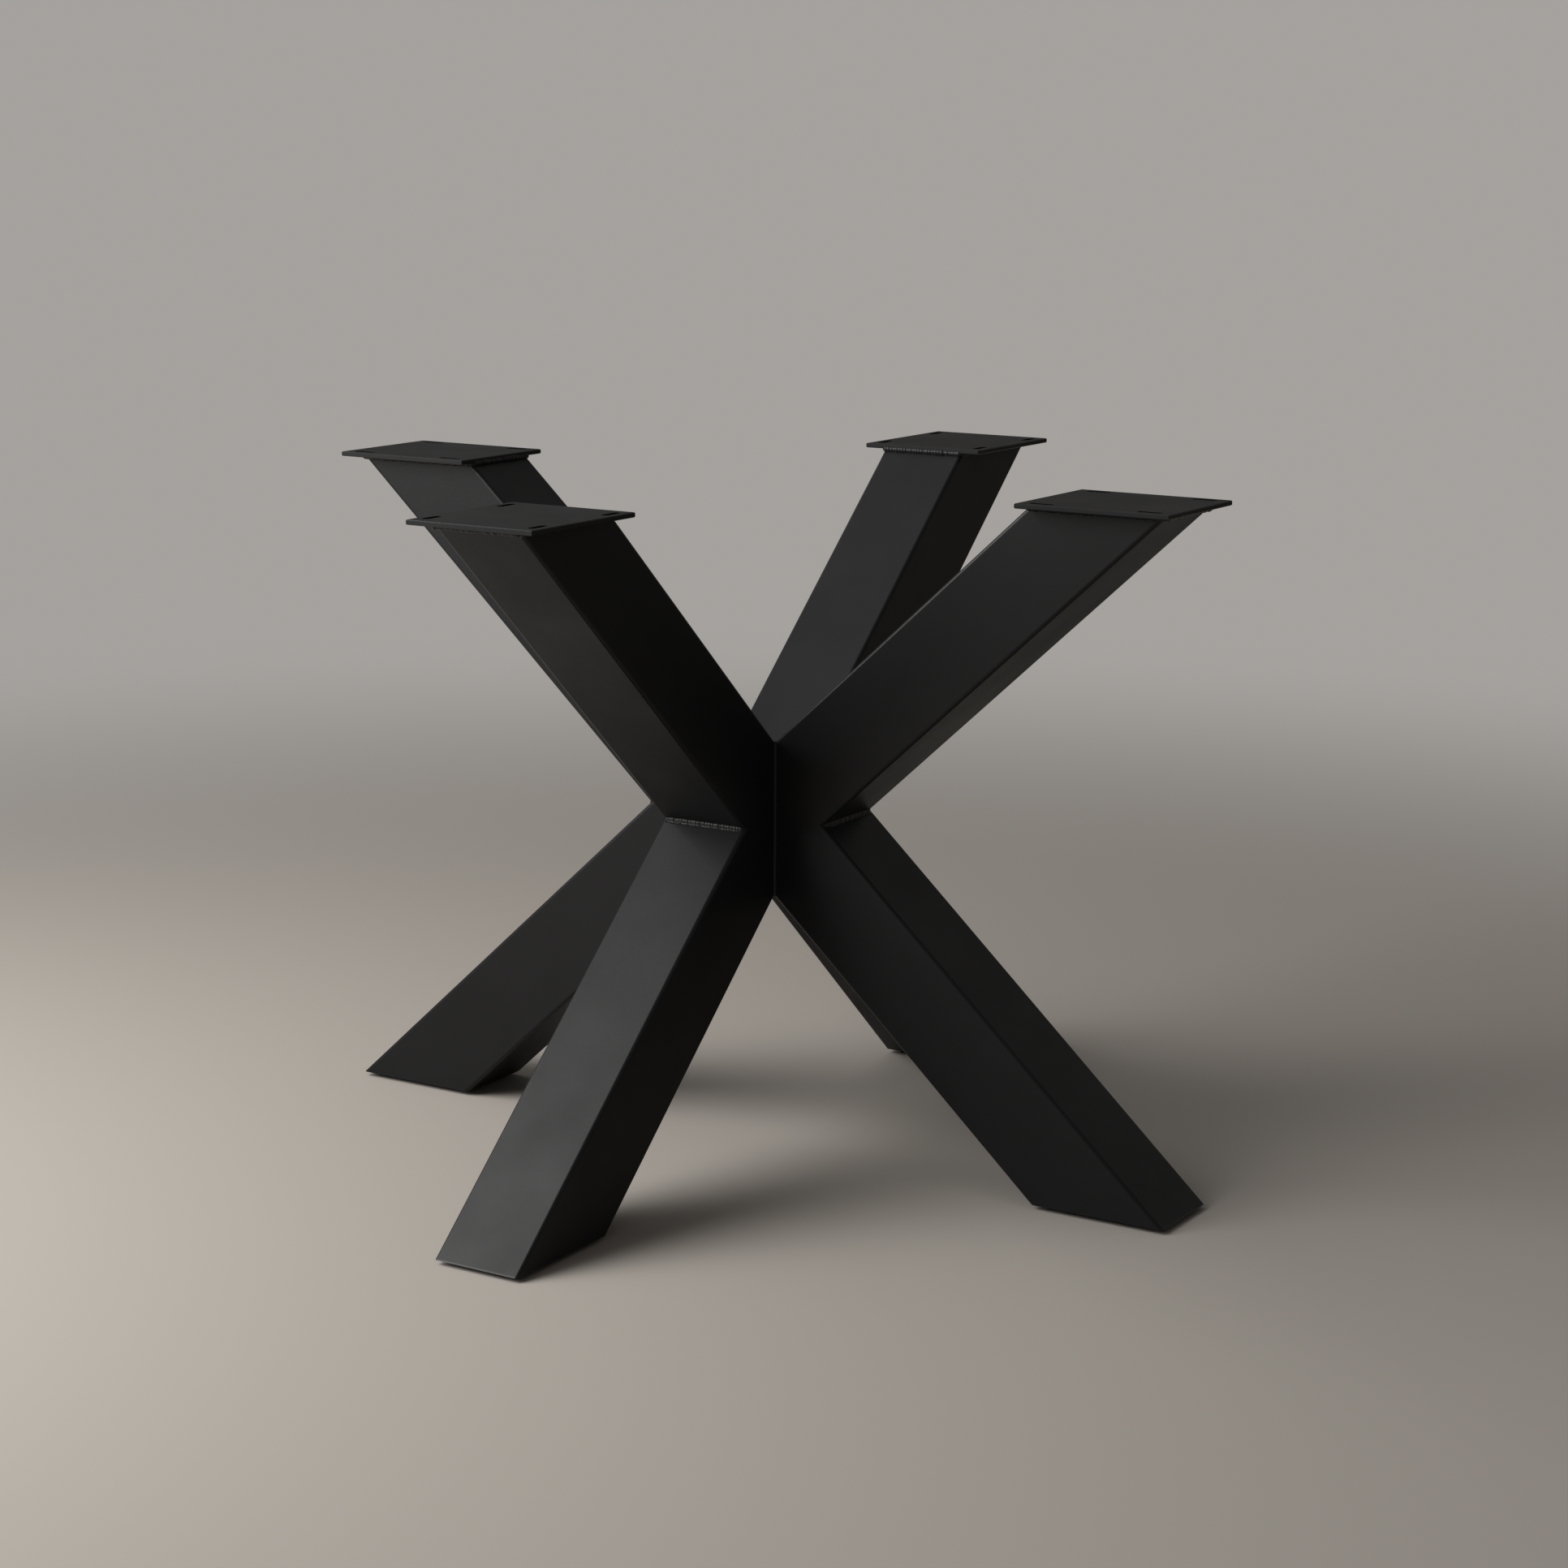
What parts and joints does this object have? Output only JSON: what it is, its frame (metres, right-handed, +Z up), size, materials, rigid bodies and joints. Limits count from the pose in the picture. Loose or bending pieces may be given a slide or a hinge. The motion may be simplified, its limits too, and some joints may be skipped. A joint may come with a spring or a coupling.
{
  "type": "spider table base",
  "caption": "Welded spider table base: square tube legs meet in a central mitred knot, rise to slotted plates under the table top and go down to padded feet.",
  "frame": {"origin": "on the floor, on the centre line of the knot", "axes": "+Z up; the right, back, left and front leg pairs lie on +X, +Y, -X and -Y"},
  "size_m": [1.0118, 1.0118, 0.72],
  "materials": {
    "powder_coat": "matt black powder coat with a fine texture, over steel",
    "coated_weld": "matt black powder coat over rippled weld beads",
    "pad_rubber": "matt black rubber"
  },
  "bodies": {
    "root": {"upper_leg_right": "powder_coat", "lower_leg_right": "powder_coat", "top_plate_right": "powder_coat", "foot_plate_right": "powder_coat", "foot_pad_right": "pad_rubber", "knee_weld_right": "coated_weld", "plate_weld_right": "coated_weld", "seam_weld_right_back": "coated_weld", "upper_leg_back": "powder_coat", "lower_leg_back": "powder_coat", "top_plate_back": "powder_coat", "foot_plate_back": "powder_coat", "foot_pad_back": "pad_rubber", "knee_weld_back": "coated_weld", "plate_weld_back": "coated_weld", "seam_weld_back_left": "coated_weld", "upper_leg_left": "powder_coat", "lower_leg_left": "powder_coat", "top_plate_left": "powder_coat", "foot_plate_left": "powder_coat", "foot_pad_left": "pad_rubber", "knee_weld_left": "coated_weld", "plate_weld_left": "coated_weld", "seam_weld_left_front": "coated_weld", "upper_leg_front": "powder_coat", "lower_leg_front": "powder_coat", "top_plate_front": "powder_coat", "foot_plate_front": "powder_coat", "foot_pad_front": "pad_rubber", "knee_weld_front": "coated_weld", "plate_weld_front": "coated_weld", "seam_weld_front_right": "coated_weld"}
  },
  "joints": []
}
